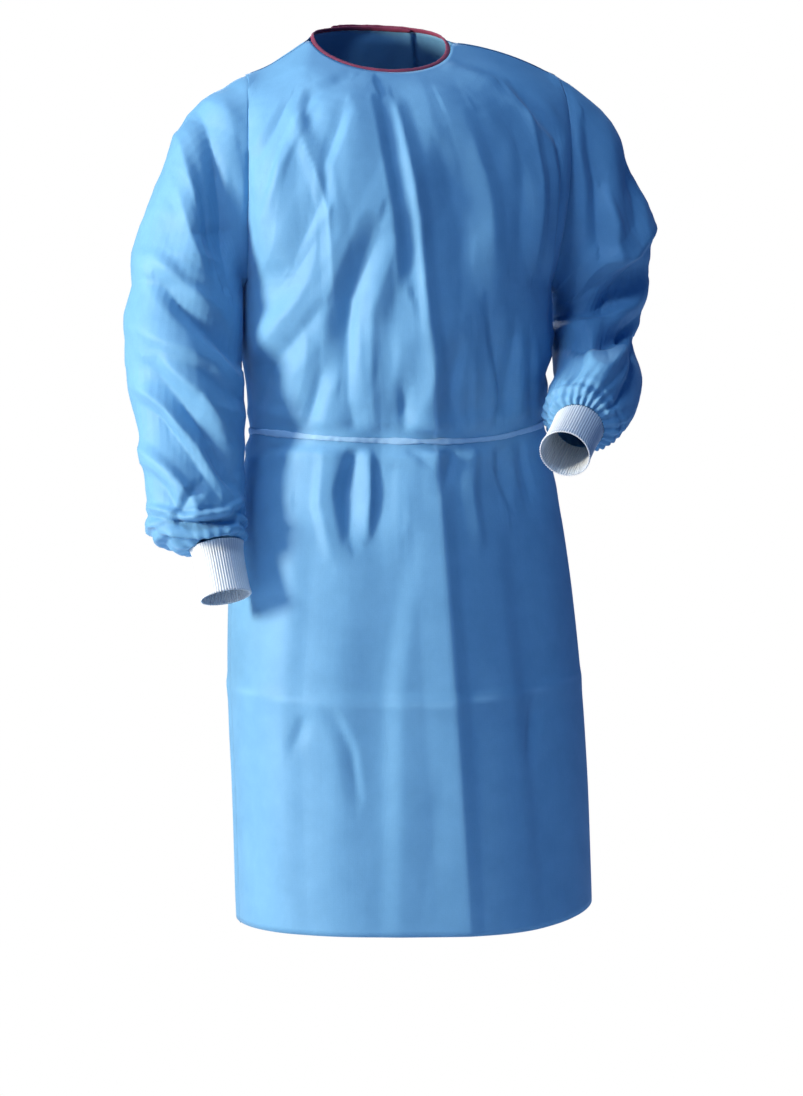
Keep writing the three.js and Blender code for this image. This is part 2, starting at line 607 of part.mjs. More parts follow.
// The tie goes from the knot over the left back, the front and the right back, and over the lap to the knot
function tieRings() {
  const places = [];
  places.push([backLeft, BACK_CENTRE - TIE.fromKnot]);
  for (let i = BACK_CENTRE - 1; i > 0; i -= 1) places.push([backLeft, i]);
  for (let i = 2 * HALF_COLUMNS; i >= 0; i -= 1) places.push([front, i]);
  const rightEnd = backRight.rows[0].length - 1;
  const underLap = LAP_COLUMNS + 1;
  for (let i = rightEnd - 1; i >= underLap; i -= 1) places.push([backRight, i]);
  for (let i = backLeft.rows[0].length - 1; i > BACK_CENTRE; i -= 1) places.push([backLeft, i]);
  places.push([backLeft, BACK_CENTRE + TIE.fromKnot]);
  return places.map(([piece, i]) =>
    tapeCorners(onPanel(piece, i, TIE_ROW), onPanel(piece, i, TIE_ROW + 1), TIE.lift, TIE.thick));
}

function knotGeometry() {
  const { point, normal } = onPanel(backLeft, BACK_CENTRE, TIE_ROW + 0.5);
  const geometry = new THREE.SphereGeometry(1, 12, 8);
  geometry.scale(KNOT.across, KNOT.out, KNOT.high);
  const centre = point.clone().addScaledVector(normal, KNOT.lift + KNOT.out);
  geometry.translate(centre.x, centre.y, centre.z);
  return geometry;
}

// A hanging end of the tie on the left back: the rows that it runs down, and its columns at top and bottom
function tailRings({ rows, from, to }) {
  return Array.from({ length: rows + 1 }, (_, step) => {
    const i = BACK_CENTRE + mix(from, to, step / rows);
    const j = TIE_ROW - Math.max(step, TAIL.below);
    return tapeCorners(
      onPanel(backLeft, i + TAIL.half, j), onPanel(backLeft, i - TAIL.half, j), TAIL.lift, TAIL.thick);
  });
}
const TAILS = [
  { name: 'tie_tail_left', rows: 6, from: -0.2, to: -0.75 },
  { name: 'tie_tail_right', rows: 5, from: 0.2, to: 0.5 },
];

function cloth(color, roughness) {
  return new THREE.MeshStandardMaterial({ color, roughness, metalness: 0 });
}

const gown = new THREE.Group();
function add(name, geometry, material) {
  const mesh = new THREE.Mesh(geometry, material);
  mesh.name = name;
  gown.add(mesh);
}

[front, backLeft, backRight, sleeveRight, sleeveLeft].forEach((piece) =>
  add(piece.name, wallGeometry(piece), cloth(CLOTH_BLUE, 0.8)));
[cuffRight, cuffLeft].forEach((piece) =>
  add(piece.name, wallGeometry(piece), cloth(KNIT_WHITE, 0.95)));
add('neck_binding', barGeometry(bindingRings()), cloth(TAPE_RED, 0.7));
add('waist_tie', barGeometry(tieRings()), cloth(TIE_BLUE, 0.8));
add('tie_knot', knotGeometry(), cloth(TIE_BLUE, 0.8));
TAILS.forEach((tail) => add(tail.name, barGeometry(tailRings(tail)), cloth(TIE_BLUE, 0.8)));

export default gown;
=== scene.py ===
import json
import math

import bmesh
import bpy
import numpy as np
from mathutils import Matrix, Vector, geometry
from mathutils.bvhtree import BVHTree
from mathutils.kdtree import KDTree


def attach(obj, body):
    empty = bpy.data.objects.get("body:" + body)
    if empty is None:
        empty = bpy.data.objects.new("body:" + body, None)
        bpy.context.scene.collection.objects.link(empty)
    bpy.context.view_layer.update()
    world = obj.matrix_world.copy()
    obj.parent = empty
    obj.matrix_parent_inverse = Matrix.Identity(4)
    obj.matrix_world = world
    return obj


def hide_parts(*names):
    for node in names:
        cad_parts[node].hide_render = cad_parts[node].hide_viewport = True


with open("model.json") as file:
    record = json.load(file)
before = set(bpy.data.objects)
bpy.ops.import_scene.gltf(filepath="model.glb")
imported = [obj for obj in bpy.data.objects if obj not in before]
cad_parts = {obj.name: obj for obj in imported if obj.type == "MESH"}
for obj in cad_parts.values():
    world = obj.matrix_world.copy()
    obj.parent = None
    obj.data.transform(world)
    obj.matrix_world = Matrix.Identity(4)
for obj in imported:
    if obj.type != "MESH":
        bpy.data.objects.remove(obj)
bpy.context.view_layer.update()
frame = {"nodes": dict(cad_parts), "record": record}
nodes = frame["nodes"]

# Cloth panels: one front, two backs that lap behind, and two sleeves sewn into the armholes.
# Spunbond and meltblown polypropylene pressed in one thin sheet, light and crisp: it hangs in broad
# folds with sharp edges, and keeps the lines that it was folded on in its packet.
MM = 0.001
CLOTH_THICK = 0.45 * MM
SKIN_LIFT = 0.25 * MM

# The solids' wall, how much wider than that a face on its rim may be, and how near to each other two
# points are one
CAD_WALL = 2 * MM
WALL_SLACK = 1.03
SAME_POINT = 0.01 * MM

# The cut of each panel in metres, its flat area, how it is held, how finely its mesh is cut, and which
# panels' edges lie over its own
PANELS = {
    "front": {"flat": (0.62, 1.14), "area": 0.664, "held": "hung", "cuts": 2, "under": []},
    "back_left": {"flat": (0.42, 1.15), "area": 0.441, "held": "hung", "cuts": 2, "under": ["front"]},
    "back_right": {"flat": (0.42, 1.15), "area": 0.430, "held": "hung", "cuts": 2, "under": ["front"]},
    "sleeve_right": {"flat": (0.50, 0.56), "area": 0.226, "held": "gathered", "cuts": 3,
                     "under": ["front", "back_right"]},
    "sleeve_left": {"flat": (0.50, 0.50), "area": 0.184, "held": "gathered", "cuts": 3,
                    "under": ["front", "back_left"]},
}

# Creases, in millimetres as seen from the front: the points of each line, its half width, or one for
# its left and one for its right side, how far it stands out, negative for a trough, and how sharp its
# crest is, from 0 for round to 1 for pressed.
FRONT_CREASES = [
    # packing folds: centre line, second line on the right chest, and the line across the skirt
    {"line": [(-29, -101), (-18, -176), (-7, -242), (3, -378), (13, -460), (16, -514), (18, -585),
              (26, -720), (36, -880), (51, -1140)],
     "wide": 30, "out": 4.0, "sharp": 1},
    {"line": [(-160, -112), (-137, -176), (-122, -234), (-118, -276), (-113, -350)],
     "wide": 20, "out": 3.0, "sharp": 0.9},
    {"line": [(-230, -836), (-141, -849), (27, -850), (139, -839), (225, -824)],
     "wide": 20, "out": 2.2, "sharp": 1},
    {"line": [(-29, -101), (-18, -176), (-7, -242), (3, -378)], "wide": 13, "out": 3.0, "sharp": 1},
    # broad hollows of the chest
    {"line": [(-46, -92), (-36, -176), (-26, -242), (-18, -320)],
     "wide": (84, 15), "out": -5.5, "sharp": 0.8},
    {"line": [(-62, -250), (-96, -340), (-104, -430)], "wide": 36, "out": -5.0, "sharp": 0.6},
    {"line": [(36, -120), (60, -230), (64, -350)], "wide": 48, "out": -3.6, "sharp": 0.4},
    # from the neck and shoulders
    {"line": [(-83, -62), (-134, -83), (-141, -101), (-132, -140)],
     "wide": 18, "out": -3.2, "sharp": 0.3},
    {"line": [(-95, -101), (-125, -171), (-122, -224)], "wide": 18, "out": -3.4, "sharp": 0.4},
    {"line": [(-160, -88), (-202, -161), (-200, -193)], "wide": 15, "out": -3.4, "sharp": 0.5},
    {"line": [(-155, -122), (-184, -171), (-201, -232)], "wide": 15, "out": -3.0, "sharp": 0.5},
    {"line": [(-146, -104), (-176, -160), (-194, -214)], "wide": 12, "out": 2.4, "sharp": 0.7},
    {"line": [(-125, -208), (-163, -297)], "wide": 22, "out": -3.6, "sharp": 0.3},
    {"line": [(-122, -242), (-160, -315)], "wide": 18, "out": -2.6, "sharp": 0.5},
    {"line": [(-57, -261), (-94, -342), (-97, -381), (-94, -466), (-81, -519)],
     "wide": 26, "out": -5.0, "sharp": 0.3},
    {"line": [(-36, -270), (-66, -356), (-66, -455), (-58, -512)], "wide": 20, "out": 2.6, "sharp": 0.4},
    {"line": [(45, -39), (122, -64), (150, -103), (160, -185), (160, -224), (152, -303)],
     "wide": 20, "out": 4.0, "sharp": 0.7},
    {"line": [(120, -67), (165, -106), (192, -132), (200, -185), (196, -276), (186, -381)],
     "wide": 18, "out": -4.2, "sharp": 0.4},
    {"line": [(150, -78), (198, -125)], "wide": 12, "out": -3.0, "sharp": 0.6},
    {"line": [(78, -110), (108, -196), (112, -290)], "wide": 30, "out": -2.6, "sharp": 0.1},
    {"line": [(22, -150), (52, -262), (48, -352)], "wide": 26, "out": -2.2, "sharp": 0.2},
    # gathered above the tie
    {"line": [(-128, -353), (-185, -427), (-195, -508)], "wide": 22, "out": -5.0, "sharp": 0.4},
    {"line": [(-150, -340), (-205, -420)], "wide": 15, "out": 2.6, "sharp": 0.6},
    {"line": [(-124, -430), (-140, -505)], "wide": 14, "out": -2.6, "sharp": 0.6},
    {"line": [(47, -398), (34, -460), (48, -514)], "wide": 18, "out": -4.0, "sharp": 0.5},
    {"line": [(83, -348), (110, -460), (99, -502)], "wide": 18, "out": -4.2, "sharp": 0.5},
    {"line": [(126, -377), (117, -484)], "wide": 15, "out": -3.6, "sharp": 0.6},
    {"line": [(66, -420), (70, -505)], "wide": 13, "out": 2.2, "sharp": 0.7},
    {"line": [(150, -390), (158, -500)], "wide": 16, "out": -3.2, "sharp": 0.5},
    {"line": [(-28, -452), (-22, -506)], "wide": 12, "out": -2.2, "sharp": 0.6},
    # below the tie
    {"line": [(-150, -520), (-196, -540), (-222, -558)], "wide": 16, "out": -3.4, "sharp": 0.5},
    {"line": [(-81, -526), (-99, -585), (-94, -644)], "wide": 20, "out": -5.4, "sharp": 0.6},
    {"line": [(-67, -526), (-66, -590), (-72, -640)], "wide": 15, "out": 4.2, "sharp": 0.4},
    {"line": [(-120, -530), (-128, -600), (-116, -668)], "wide": 18, "out": 2.6, "sharp": 0.4},
    {"line": [(43, -519), (25, -579)], "wide": 16, "out": -3.6, "sharp": 0.6},
    {"line": [(101, -511), (104, -556), (117, -600)], "wide": 16, "out": -3.8, "sharp": 0.6},
    {"line": [(134, -515), (150, -585)], "wide": 15, "out": -3.2, "sharp": 0.5},
    {"line": [(-24, -514), (-18, -532), (9, -552)], "wide": 10, "out": -2.4, "sharp": 0.7},
    {"line": [(70, -520), (64, -580), (72, -650)], "wide": 16, "out": 2.4, "sharp": 0.5},
    # skirt
    {"line": [(-150, -869), (-164, -910)], "wide": 12, "out": -1.8, "sharp": 0.6},
    {"line": [(-118, -860), (-95, -910), (-87, -974)], "wide": 14, "out": -2.0, "sharp": 0.6},
    {"line": [(147, -842), (135, -919)], "wide": 14, "out": -2.0, "sharp": 0.6},
    {"line": [(-30, -650), (-60, -830), (-64, -1140)], "wide": 46, "out": -3.4, "sharp": 0.0},
    {"line": [(118, -640), (140, -860), (158, -1130)], "wide": 42, "out": -3.2, "sharp": 0.0},
    {"line": [(-160, -620), (-176, -850), (-170, -1140)], "wide": 40, "out": 2.6, "sharp": 0.0},
    # hanging sleeve
    {"line": [(-264, -96), (-256, -150), (-245, -213), (-236, -263), (-230, -322)],
     "wide": 26, "out": -9.0, "sharp": 0.5},
    {"line": [(-292, -104), (-284, -176), (-270, -262)], "wide": 22, "out": 5.0, "sharp": 0.7},
    {"line": [(-268, -222), (-254, -270), (-244, -310)], "wide": 24, "out": -6.0, "sharp": 0.4},
    {"line": [(-300, -196), (-284, -262), (-262, -322)], "wide": 22, "out": 4.0, "sharp": 0.6},
    {"line": [(-326, -318), (-296, -356), (-244, -398), (-222, -420)],
     "wide": 26, "out": -9.0, "sharp": 0.5},
    {"line": [(-330, -288), (-296, -322), (-248, -356)], "wide": 20, "out": 5.0, "sharp": 0.7},
    {"line": [(-336, -388), (-304, -404), (-262, -424), (-236, -452)],
     "wide": 20, "out": 6.0, "sharp": 0.7},
    {"line": [(-334, -430), (-306, -462), (-268, -514), (-238, -556)],
     "wide": 26, "out": -10.0, "sharp": 0.6},
    {"line": [(-318, -424), (-276, -462), (-242, -512)], "wide": 18, "out": 6.0, "sharp": 0.8},
    {"line": [(-356, -470), (-330, -492), (-290, -540), (-262, -580)],
     "wide": 22, "out": -8.0, "sharp": 0.6},
    {"line": [(-352, -452), (-322, -478), (-300, -508)], "wide": 15, "out": 4.6, "sharp": 0.8},
    {"line": [(-356, -520), (-318, -556), (-286, -600)], "wide": 16, "out": 5.0, "sharp": 0.8},
    {"line": [(-270, -530), (-250, -560), (-232, -580)], "wide": 14, "out": -5.0, "sharp": 0.6},
    {"line": [(-340, -556), (-322, -578), (-312, -602)], "wide": 14, "out": -5.0, "sharp": 0.7},
    {"line": [(-284, -574), (-302, -600), (-310, -618)], "wide": 13, "out": -4.6, "sharp": 0.6},
    {"line": [(-346, -600), (-300, -614), (-250, -608), (-224, -596)],
     "wide": 10, "out": 5.0, "sharp": 0.7},
    {"line": [(-346, -612), (-296, -626), (-250, -620), (-224, -608)],
     "wide": 8, "out": -5.0, "sharp": 0.6},
    {"line": [(-342, -624), (-296, -637), (-250, -632), (-226, -620)],
     "wide": 9, "out": 5.0, "sharp": 0.7},
    {"line": [(-336, -634), (-296, -647), (-250, -642)], "wide": 7, "out": -4.0, "sharp": 0.6},
    # bent sleeve
    {"line": [(262, -200), (276, -240), (280, -292)], "wide": 20, "out": 5.0, "sharp": 0.7},
    {"line": [(236, -112), (250, -186), (252, -262)], "wide": 24, "out": -7.0, "sharp": 0.4},
    {"line": [(300, -150), (314, -200), (312, -256)], "wide": 18, "out": -4.6, "sharp": 0.5},
    {"line": [(348, -262), (306, -306), (262, -340), (226, -356)], "wide": 24, "out": -9.0, "sharp": 0.5},
    {"line": [(344, -238), (304, -276), (262, -306)], "wide": 18, "out": 5.0, "sharp": 0.8},
    {"line": [(338, -312), (300, -346), (246, -368), (214, -376)], "wide": 20, "out": 7.0, "sharp": 0.7},
    {"line": [(330, -356), (290, -384), (236, -396), (200, -404)], "wide": 16, "out": -7.0, "sharp": 0.5},
    {"line": [(292, -368), (290, -410)], "wide": 14, "out": -4.4, "sharp": 0.6},
    {"line": [(286, -396), (244, -426), (204, -456)], "wide": 18, "out": 6.0, "sharp": 0.7},
    {"line": [(318, -392), (276, -440), (238, -478)], "wide": 18, "out": -6.0, "sharp": 0.5},
    {"line": [(228, -384), (208, -420), (184, -446)], "wide": 14, "out": -5.0, "sharp": 0.5},
]
BACK_CREASES = [
    {"line": [(-232, -832), (-90, -846), (60, -846), (226, -826)], "wide": 20, "out": 2.2, "sharp": 1},
    {"line": [(-118, -60), (-160, -150), (-182, -262)], "wide": 20, "out": -3.6, "sharp": 0.4},
    {"line": [(126, -56), (164, -140), (188, -250)], "wide": 20, "out": -3.6, "sharp": 0.4},
    {"line": [(-70, -120), (-104, -240), (-96, -360)], "wide": 26, "out": -2.6, "sharp": 0.2},
    {"line": [(90, -100), (110, -230), (98, -350)], "wide": 26, "out": -2.6, "sharp": 0.2},
    {"line": [(-60, -360), (-112, -440), (-130, -498)], "wide": 20, "out": -4.0, "sharp": 0.5},
    {"line": [(-168, -350), (-176, -498)], "wide": 18, "out": -3.6, "sharp": 0.5},
    {"line": [(86, -350), (120, -430), (128, -492)], "wide": 20, "out": -4.0, "sharp": 0.5},
    {"line": [(160, -370), (168, -490)], "wide": 16, "out": -3.4, "sharp": 0.5},
    {"line": [(-108, -512), (-128, -610), (-122, -700)], "wide": 22, "out": -4.6, "sharp": 0.4},
    {"line": [(-72, -512), (-84, -600), (-80, -660)], "wide": 16, "out": 2.8, "sharp": 0.5},
    {"line": [(98, -508), (120, -600), (122, -720)], "wide": 22, "out": -4.6, "sharp": 0.4},
    {"line": [(60, -508), (70, -590)], "wide": 14, "out": 2.4, "sharp": 0.6},
    {"line": [(160, -500), (176, -590)], "wide": 16, "out": -3.2, "sharp": 0.5},
    {"line": [(-170, -512), (-186, -580)], "wide": 16, "out": -3.2, "sharp": 0.5},
    {"line": [(-70, -700), (-96, -900), (-104, -1130)], "wide": 44, "out": -3.4, "sharp": 0.0},
    {"line": [(90, -690), (116, -880), (130, -1120)], "wide": 44, "out": -3.4, "sharp": 0.0},
    {"line": [(-300, -250), (-264, -330)], "wide": 16, "out": -3.4, "sharp": 0.5},
    {"line": [(-330, -350), (-262, -396)], "wide": 16, "out": 3.0, "sharp": 0.6},
    {"line": [(-342, -400), (-250, -452)], "wide": 16, "out": -4.4, "sharp": 0.5},
    {"line": [(-340, -466), (-240, -520)], "wide": 15, "out": 3.0, "sharp": 0.6},
    {"line": [(-348, -520), (-262, -566)], "wide": 15, "out": -4.0, "sharp": 0.6},
    {"line": [(-336, -606), (-280, -622), (-224, -612)], "wide": 8, "out": 3.4, "sharp": 0.6},
    {"line": [(-338, -616), (-280, -633), (-224, -622)], "wide": 7, "out": -3.6, "sharp": 0.5},
    {"line": [(310, -230), (270, -310)], "wide": 16, "out": -3.4, "sharp": 0.5},
    {"line": [(344, -300), (280, -352)], "wide": 16, "out": 3.0, "sharp": 0.6},
    {"line": [(336, -352), (262, -400)], "wide": 16, "out": -4.2, "sharp": 0.5},
    {"line": [(322, -390), (262, -436)], "wide": 13, "out": 2.8, "sharp": 0.6},
]

# Facets that crisp cloth breaks into between its creases: the part of the cloth that they are on, in
# millimetres as seen from the front, how they lean from upright in degrees, how long and wide one is,
# and how high. Each part fades into its neighbours over a few centimetres.
FRONT_FACETS = [
    {"x": (-400, -214), "z": (-240, 0), "lean": 30, "long": 88, "wide": 40, "high": 6.0},
    {"x": (-400, -214), "z": (-610, -240), "lean": 48, "long": 80, "wide": 36, "high": 8.5},
    {"x": (-214, -112), "z": (-380, -60), "lean": -34, "long": 120, "wide": 38, "high": 5.2},
    {"x": (-112, 112), "z": (-390, -60), "lean": -12, "long": 150, "wide": 52, "high": 3.8},
    {"x": (112, 214), "z": (-380, -60), "lean": 22, "long": 110, "wide": 36, "high": 5.0},
    {"x": (214, 400), "z": (-270, 0), "lean": -24, "long": 86, "wide": 38, "high": 6.0},
    {"x": (204, 400), "z": (-560, -270), "lean": -58, "long": 70, "wide": 33, "high": 8.0},
    {"x": (-214, 204), "z": (-496, -380), "lean": -4, "long": 100, "wide": 24, "high": 3.6},
    {"x": (-260, 260), "z": (-610, -496), "lean": 4, "long": 110, "wide": 24, "high": 3.0},
    {"x": (-300, 300), "z": (-1200, -610), "lean": 10, "long": 230, "wide": 74, "high": 1.8},
]
BACK_FACETS = [
    {"x": (-400, -200), "z": (-650, 0), "lean": 44, "long": 80, "wide": 36, "high": 7.0},
    {"x": (200, 400), "z": (-560, 0), "lean": -44, "long": 76, "wide": 36, "high": 7.0},
    {"x": (-200, 200), "z": (-380, 60), "lean": 0, "long": 130, "wide": 46, "high": 4.0},
    {"x": (-260, 260), "z": (-600, -380), "lean": 3, "long": 100, "wide": 24, "high": 3.2},
    {"x": (-300, 300), "z": (-1200, -600), "lean": 8, "long": 230, "wide": 70, "high": 1.8},
]
FACETS_FADE = 34
FACET_SEEDS = {"front": 5, "back": 6}

# How many facets a field has each way before it repeats, and how its rows wander: where each sway may
# start, how far it goes, in facets, and how quickly
FACET_GRID = 64
SWAY_START = 6
FACET_SWAYS = [{"by": 0.6, "quick": 1.3}, {"by": 0.3, "quick": 2.9}, {"by": 0.5, "quick": 1.1}]

# A crease's section and ends: how lopsided it is, how hollow a pressed crest's sides are, how soon a
# crest counts as sharp, how far in it its ends taper, and which creases get a painted highlight line
# along their crest, how wide
SIDEWAYS = 0.32
CREST_HOLLOW = 1.2
CREST_SHARPEN = 0.4
TAPER_END = 0.04
HIGHLIGHT_FROM_SHARP = 0.9
HIGHLIGHT_WIDE = 2.2


def outer_skin(node_name, piece_name):
    """The outer face of a solid's wall as one sheet of quads."""
    mesh = bmesh.new()
    mesh.from_mesh(nodes[node_name].data)
    bmesh.ops.remove_doubles(mesh, verts=mesh.verts, dist=SAME_POINT)
    rim_wide = CAD_WALL * WALL_SLACK
    rim = [f for f in mesh.faces if min(e.calc_length() for e in f.edges) < rim_wide]
    bmesh.ops.delete(mesh, geom=rim, context="FACES")
    left = set(mesh.faces)
    skins = []
    while left:
        skin = [left.pop()]
        for face in skin:
            beside = {g for e in face.edges for g in e.link_faces if g in left}
            left -= beside
            skin.extend(beside)
        skins.append(skin)
    outer = max(skins, key=lambda skin: sum(f.calc_area() for f in skin))
    inner = [f for skin in skins if skin is not outer for f in skin]
    bmesh.ops.delete(mesh, geom=inner, context="FACES")
    return quads(mesh, piece_name)


def quads(mesh, piece_name):
    """Pairs the solid's triangles into quads again, in a new piece."""
    bmesh.ops.join_triangles(
        mesh, faces=mesh.faces, angle_face_threshold=math.pi, angle_shape_threshold=math.pi,
        topology_influence=2.0,
    )
    data = bpy.data.meshes.new(piece_name)
    mesh.to_mesh(data)
    mesh.free()
    piece = bpy.data.objects.new(piece_name, data)
    bpy.context.collection.objects.link(piece)
    return piece


def keep_modifiers(piece):
    """Fixes what the piece's modifiers make as its own mesh."""
    bpy.context.view_layer.update()
    shown = piece.evaluated_get(bpy.context.evaluated_depsgraph_get())
    data = bpy.data.meshes.new_from_object(shown)
    piece.modifiers.clear()
    old = piece.data
    piece.data = data
    data.name = piece.name
    bpy.data.meshes.remove(old)


def refine(piece, cuts):
    """Rounds the sheet once, then cuts each quad finer."""
    rounded = piece.modifiers.new("rounded", "SUBSURF")
    rounded.levels = rounded.render_levels = 1
    rounded.boundary_smooth = "PRESERVE_CORNERS"
    keep_modifiers(piece)
    mesh = bmesh.new()
    mesh.from_mesh(piece.data)
    bmesh.ops.subdivide_edges(mesh, edges=mesh.edges, cuts=cuts, use_grid_fill=True, smooth=0.0)
    mesh.to_mesh(piece.data)
    mesh.free()


def points_and_normals(piece):
    """The piece's points and normals, a row for each."""
    data = piece.data
    points = np.empty(len(data.vertices) * 3)
    data.vertices.foreach_get("co", points)
    normals = np.empty(len(data.vertices) * 3)
    data.vertex_normals.foreach_get("vector", normals)
    return points.reshape(-1, 3), normals.reshape(-1, 3)


def reshape(piece, points):
    """Puts the piece's points where they are now, and shades it smooth."""
    piece.data.vertices.foreach_set("co", points.ravel())
    piece.data.update()
    piece.data.shade_smooth()


def crease_out(points, creases):
    """How far each point is moved out by the creases, in metres, and how much painted highlight it gets."""
    flat = points[:, [0, 2]] / MM
    total = np.zeros(len(points))
    crest_highlight = np.zeros(len(points))
    for number, crease in enumerate(creases):
        line = np.array(crease["line"], float)
        steps = np.linalg.norm(np.diff(line, axis=0), axis=1)
        starts = np.concatenate([[0], np.cumsum(steps)])
        nearest = np.full(len(flat), np.inf)
        along = np.zeros(len(flat))
        right = np.zeros(len(flat), bool)
        for a, b, start, step in zip(line[:-1], line[1:], starts, steps):
            t = np.clip(((flat - a) @ (b - a)) / step**2, 0, 1)
            gap = np.linalg.norm(flat - a - t[:, None] * (b - a), axis=1)
            closer = gap < nearest
            nearest[closer] = gap[closer]
            along[closer] = (start + t * step)[closer] / starts[-1]
            beside = flat - a
            right[closer] = ((b - a)[0] * beside[:, 1] < (b - a)[1] * beside[:, 0])[closer]
        wide = crease["wide"]
        if not isinstance(wide, tuple):
            lean = SIDEWAYS if number % 2 else -SIDEWAYS
            wide = (wide * (1 + lean), wide * (1 - lean))
        reach = np.clip(1 - nearest / np.where(right, wide[1], wide[0]), 0, 1)
        round_crest = np.sin(reach * np.pi / 2) ** 2
        pressed_crest = reach**CREST_HOLLOW
        crest = round_crest + (pressed_crest - round_crest) * crease["sharp"] ** CREST_SHARPEN
        taper = np.sqrt(np.sin(np.pi * (TAPER_END + (1 - 2 * TAPER_END) * along)))
        total += crease["out"] * crest * taper
        # Painted highlight: a narrow pale line along the crest of each sharp crease
        if crease["sharp"] >= HIGHLIGHT_FROM_SHARP:
            crest_highlight = np.maximum(crest_highlight, np.exp(-((nearest / HIGHLIGHT_WIDE) ** 2)) * taper)
    return total * MM, crest_highlight


def swayed(values, others, sway, start):
    """Values that wander to and fro along the others."""
    return values + sway["by"] * np.sin(sway["quick"] * others + start)


def facet_out(points, areas, seed):
    """How far each point is moved out by the flat facets, in metres."""
    x, z = points[:, 0] / MM, points[:, 2] / MM
    chance = np.random.default_rng(seed)
    total = np.zeros(len(points))
    weight = np.zeros(len(points))
    for area in areas:
        turn = math.radians(area["lean"])
        across = (x * math.cos(turn) + z * math.sin(turn)) / area["wide"]
        along = (z * math.cos(turn) - x * math.sin(turn)) / area["long"]
        swing = chance.uniform(0, SWAY_START, len(FACET_SWAYS))
        across = swayed(across, along, FACET_SWAYS[0], swing[0])
        across = swayed(across, along, FACET_SWAYS[1], swing[1])
        along = swayed(along, across, FACET_SWAYS[2], swing[2])
        heights = chance.uniform(-1, 1, (FACET_GRID, FACET_GRID))
        a, b = np.floor(across).astype(int), np.floor(along).astype(int)
        part_a, part_b = across - a, along - b
        a, b = a % FACET_GRID, b % FACET_GRID
        next_a, next_b = (a + 1) % FACET_GRID, (b + 1) % FACET_GRID
        near, far = heights[a, b], heights[next_a, next_b]
        side_a, side_b = heights[next_a, b], heights[a, next_b]
        lower = near + part_a * (side_a - near) + part_b * (side_b - near)
        upper = far + (1 - part_a) * (side_b - far) + (1 - part_b) * (side_a - far)
        height = np.where(part_a + part_b > 1, upper, lower)
        inside = np.ones(len(points))
        for values, (low, high) in ((x, area["x"]), (z, area["z"])):
            inside *= np.clip((values - low) / FACETS_FADE + 0.5, 0, 1)
            inside *= np.clip((high - values) / FACETS_FADE + 0.5, 0, 1)
        total += height * area["high"] * inside
        weight += inside
    return total / np.maximum(weight, 1) * MM


# What holds the cloth down: the tie, its knot and ends, and the binding. Creases die out towards them,
# and the tie draws the waist in, so that the cloth puffs out above and below it.
PRESSED_WITHIN = 1.5 * MM
FREE_BEYOND = 15 * MM
PUFF_AT = 17 * MM
PUFF_WIDE = 9 * MM
PUFF_HIGH = 2.6 * MM


def tree_of_nodes(node_names):
    """The faces of some solids, to measure distances to them."""
    vertices = []
    triangles = []
    for node_name in node_names:
        data = nodes[node_name].data
        first = len(vertices)
        vertices += [v.co.copy() for v in data.vertices]
        triangles += [[first + k for k in face.vertices] for face in data.polygons]
    return BVHTree.FromPolygons(vertices, triangles)


def tree_of_points(points):
    """Points, to find the nearest of them."""
    tree = KDTree(len(points))
    for k, point in enumerate(points):
        tree.insert(point, k)
    tree.balance()
    return tree


def smooth_step(values, low, high):
    """Rises smoothly from 0 at the low value to 1 at the high one."""
    t = np.clip((values - low) / (high - low), 0, 1)
    return t * t * (3 - 2 * t)


def open_edge(piece):
    """The points on the sheet's open edges, by their numbers."""
    mesh = bmesh.new()
    mesh.from_mesh(piece.data)
    found = {v.index: v.co.copy() for v in mesh.verts if v.is_boundary}
    mesh.free()
    return found


# Fullness of the cloth over the shoulders and below the armholes: where in metres, how far round it
# in millimetres, and how far out
FULLNESS = [
    {"at": (-0.262, 0.0, -0.095), "reach": 115, "out": 9.0},
    {"at": (0.285, 0.0, -0.115), "reach": 120, "out": 8.0},
    {"at": (-0.212, -0.02, -0.355), "reach": 105, "out": 3.8},
    {"at": (0.212, -0.02, -0.325), "reach": 95, "out": 3.0},
]

# The wrists: each sleeve's end is drawn in on its cuff, in small pleats that run up the arm, and has
# slipped down in rolls round it. A row gives the number of pleats, how high they and the rolls are,
# and how far up the arm the rolls go, in millimetres.
WRISTS = {
    "sleeve_right": {"cuff": "glove_cuff_right", "pleats": 23, "pleat": 0.7, "roll": 3.4, "rolls": 46},
    "sleeve_left": {"cuff": "glove_cuff_left", "pleats": 25, "pleat": 1.5, "roll": 1.6, "rolls": 34},
}
CUFF_HALF_LONG = 34 * MM
WRIST_REACH = 130 * MM
PLEATS_AT = 12 * MM
PLEATS_LONG = 50 * MM
PLEATS_SLANT = 9 * MM
PLEATS_UNEVEN = 1.6
PLEATS_UNEVEN_TIMES = 3
ROLL_PITCH = 17 * MM
ROLLS_START = 7 * MM
ROLLS_FADE_FROM = 0.6
ROLL_SWAYS = [{"by": 0.42, "times": 1, "start": 0.7}, {"by": 0.16, "times": 3, "start": 2}]

# How the panels meet: how much of a crease goes on to a seam, how far from it that is so, how near to
# its neighbour's edge an edge is sewn, and how soon front creases give way to back ones at the sides
SEAM_HOLD = 0.4
SEAM_HELD_WITHIN = 13 * MM
SEWN_WITHIN = 1.6 * MM
SEWN_CLOSE = 0.1 * MM
SIDE_BLEND = 1.6
CREASE_DEPTH = 1.8

mounts = {mount["name"]: mount for mount in frame["record"]["mounts"]}


def round_the_arm(points, mount):
    """How far up the arm from the cuff each point is, its angle round the arm, and if it is near."""
    axis = np.array(mount["axis"], float)
    axis /= np.linalg.norm(axis)
    away = points - np.array(mount["pos_m"])
    across = np.cross(axis, (0, 1, 0))
    across /= np.linalg.norm(across)
    turn = np.arctan2(away @ np.cross(axis, across), away @ across)
    return -(away @ axis) - CUFF_HALF_LONG, turn, np.linalg.norm(away, axis=1) < WRIST_REACH


